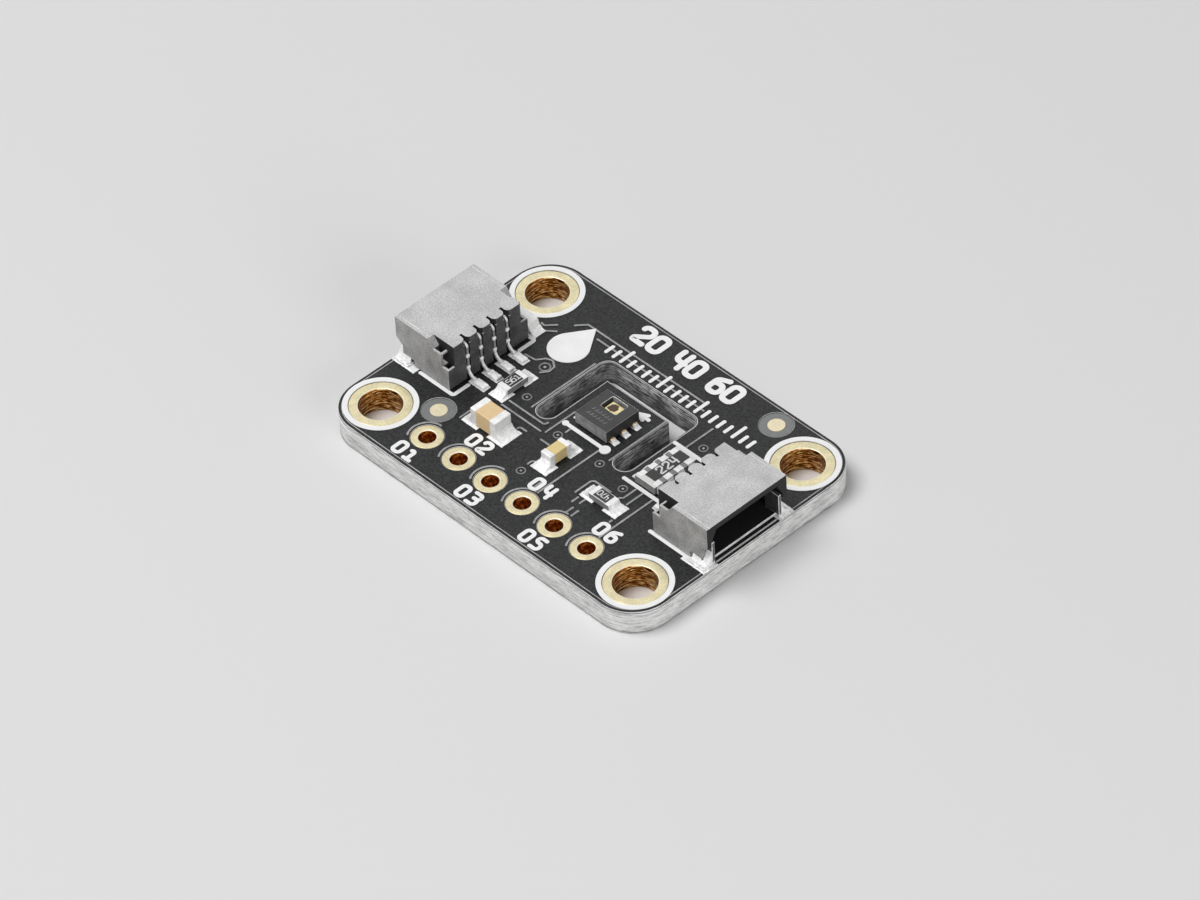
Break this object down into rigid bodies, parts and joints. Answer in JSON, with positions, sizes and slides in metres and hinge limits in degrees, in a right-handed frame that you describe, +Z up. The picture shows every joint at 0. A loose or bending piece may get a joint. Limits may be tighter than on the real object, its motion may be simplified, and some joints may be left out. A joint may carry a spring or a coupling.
{
  "type": "temperature humidity sensor module",
  "caption": "Black sensor breakout board with rounded corners, mounting holes, a row of pin holes, side-entry cable sockets and a humidity sensor on a slotted tongue.",
  "frame": {"origin": "middle of the board's underside, midway between the mounting holes", "axes": "+X along the long side, +Y from the pin row towards the opposite long edge, +Z up out of the component side"},
  "size_m": [0.025, 0.0176, 0.0046],
  "materials": {
    "board": "black solder mask over glass-fibre laminate, satin",
    "gold_plating": "thin gold over nickel and copper",
    "socket_plastic": "moulded, fine matt grain",
    "tinned_metal": "bright tin plating",
    "solder": "bright reflowed solder",
    "sensor_plastic": "moulded, fine matt grain",
    "sensor_chip": "metallised chip",
    "large_capacitor_ceramic": "fired ceramic, satin",
    "small_capacitor_ceramic": "fired ceramic, satin",
    "resistor_ceramic": "fired alumina",
    "resistor_coating": "glossy protective coating",
    "indicator_base": "thin laminate",
    "indicator_lens": "milky cast resin"
  },
  "bodies": {
    "root": {"alignment_mark_1": "gold_plating", "alignment_mark_2": "gold_plating", "circuit_board": "board", "front_resistor_ceramic": "resistor_ceramic", "front_resistor_coating": "resistor_coating", "front_resistor_terminal_1": "tinned_metal", "front_resistor_terminal_2": "tinned_metal", "indicator_base": "indicator_base", "indicator_lens": "indicator_lens", "indicator_terminal_1": "tinned_metal", "indicator_terminal_2": "tinned_metal", "large_capacitor_body": "large_capacitor_ceramic", "large_capacitor_cap_1": "tinned_metal", "large_capacitor_cap_2": "tinned_metal", "left_resistor_ceramic": "resistor_ceramic", "left_resistor_coating": "resistor_coating", "left_resistor_terminal_1": "tinned_metal", "left_resistor_terminal_2": "tinned_metal", "left_socket_anchor_1": "tinned_metal", "left_socket_anchor_2": "tinned_metal", "left_socket_contact_1": "tinned_metal", "left_socket_contact_2": "tinned_metal", "left_socket_contact_3": "tinned_metal", "left_socket_contact_4": "tinned_metal", "left_socket_housing": "socket_plastic", "mounting_hole_plating_1": "gold_plating", "mounting_hole_plating_2": "gold_plating", "mounting_hole_plating_3": "gold_plating", "mounting_hole_plating_4": "gold_plating", "pin_hole_plating_1": "gold_plating", "pin_hole_plating_2": "gold_plating", "pin_hole_plating_3": "gold_plating", "pin_hole_plating_4": "gold_plating", "pin_hole_plating_5": "gold_plating", "pin_hole_plating_6": "gold_plating", "resistor_array_ceramic": "resistor_ceramic", "resistor_array_coating": "resistor_coating", "resistor_array_terminals": "tinned_metal", "right_socket_anchor_1": "tinned_metal", "right_socket_anchor_2": "tinned_metal", "right_socket_contact_1": "tinned_metal", "right_socket_contact_2": "tinned_metal", "right_socket_contact_3": "tinned_metal", "right_socket_contact_4": "tinned_metal", "right_socket_housing": "socket_plastic", "sensing_element": "sensor_chip", "sensor_leads": "tinned_metal", "sensor_package": "sensor_plastic", "small_capacitor_body": "small_capacitor_ceramic", "small_capacitor_cap_1": "tinned_metal", "small_capacitor_cap_2": "tinned_metal", "solder_front_resistor": "solder", "solder_indicator": "solder", "solder_large_capacitor": "solder", "solder_left_resistor": "solder", "solder_left_socket": "solder", "solder_resistor_array": "solder", "solder_right_socket": "solder", "solder_sensor": "solder", "solder_small_capacitor": "solder"}
  },
  "joints": []
}
